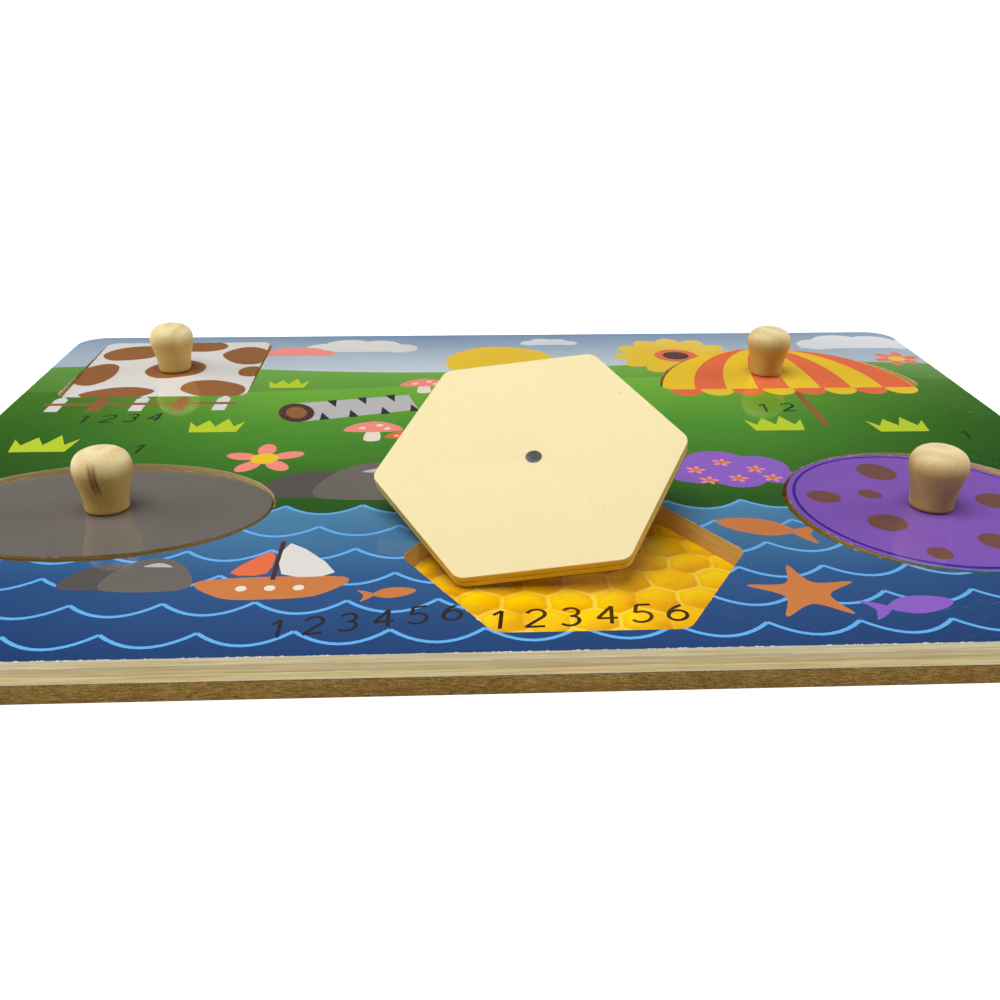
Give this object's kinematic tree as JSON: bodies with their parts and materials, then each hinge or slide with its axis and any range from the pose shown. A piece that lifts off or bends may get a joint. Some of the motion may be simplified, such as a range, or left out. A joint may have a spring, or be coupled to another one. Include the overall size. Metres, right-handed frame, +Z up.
{
  "type": "peg puzzle",
  "caption": "Wooden peg puzzle: a printed board with shaped pockets, and lift-out pieces with turned knobs, one leaning upside down across its pocket.",
  "frame": {"origin": "centre of the board's underside", "axes": "+X along the board's width, +Y towards its back edge, +Z up out of the pockets"},
  "size_m": [0.3, 0.222, 0.041],
  "materials": {
    "base_wood": "brown fibreboard, sawn edges",
    "floor_print": "printed, glossy laminate",
    "top_ply": "pale plywood, sawn edges",
    "top_print": "printed, glossy laminate",
    "piece_ply": "pale plywood, bare back",
    "square_print": "printed, glossy laminate",
    "semicircle_print": "printed, glossy laminate",
    "triangle_print": "printed, glossy laminate",
    "oval_print": "printed, glossy laminate",
    "circle_print": "printed, glossy laminate",
    "hexagon_print": "printed, glossy laminate",
    "knob_wood": "turned, clear matt lacquer",
    "nail_steel": "dark, domed head"
  },
  "bodies": {
    "board": {"base_board": "base_wood", "floor_sheet": "floor_print", "top_board": "top_ply", "top_sheet": "top_print"},
    "square_piece": {"square_panel": "piece_ply", "square_sheet": "square_print", "square_knob": "knob_wood", "square_nail": "nail_steel"},
    "semicircle_piece": {"semicircle_panel": "piece_ply", "semicircle_sheet": "semicircle_print", "semicircle_knob": "knob_wood", "semicircle_nail": "nail_steel"},
    "triangle_piece": {"triangle_panel": "piece_ply", "triangle_sheet": "triangle_print", "triangle_knob": "knob_wood", "triangle_nail": "nail_steel"},
    "oval_piece": {"oval_panel": "piece_ply", "oval_sheet": "oval_print", "oval_knob": "knob_wood", "oval_nail": "nail_steel"},
    "circle_grip": {"circle_knob": "knob_wood", "circle_nail": "nail_steel"},
    "circle_disc": {"circle_panel": "piece_ply", "circle_sheet": "circle_print"},
    "hexagon_piece": {"hexagon_panel": "piece_ply", "hexagon_sheet": "hexagon_print", "hexagon_knob": "knob_wood", "hexagon_nail": "nail_steel"}
  },
  "joints": [
    {"name": "square_lift", "type": "slide", "parent": "board", "child": "square_piece", "axis": [0, 0, 1], "range_m": [0, 0.05]},
    {"name": "semicircle_lift", "type": "slide", "parent": "board", "child": "semicircle_piece", "axis": [0, 0, 1], "range_m": [0, 0.05]},
    {"name": "triangle_lift", "type": "slide", "parent": "board", "child": "triangle_piece", "axis": [0, 0, 1], "range_m": [0, 0.05]},
    {"name": "oval_lift", "type": "slide", "parent": "board", "child": "oval_piece", "axis": [0, 0, 1], "range_m": [0, 0.05]},
    {"name": "circle_lift", "type": "slide", "parent": "board", "child": "circle_grip", "axis": [0, 0, 1], "range_m": [0, 0.05]},
    {"name": "circle_turn", "type": "hinge", "parent": "circle_grip", "child": "circle_disc", "pos_m": [0.102, -0.0478, 0.00708], "axis": [0.029, 0, 0.9996], "continuous": true},
    {"name": "hexagon_lift", "type": "slide", "parent": "board", "child": "hexagon_piece", "axis": [0, 0, 1], "range_m": [0, 0.05]}
  ]
}
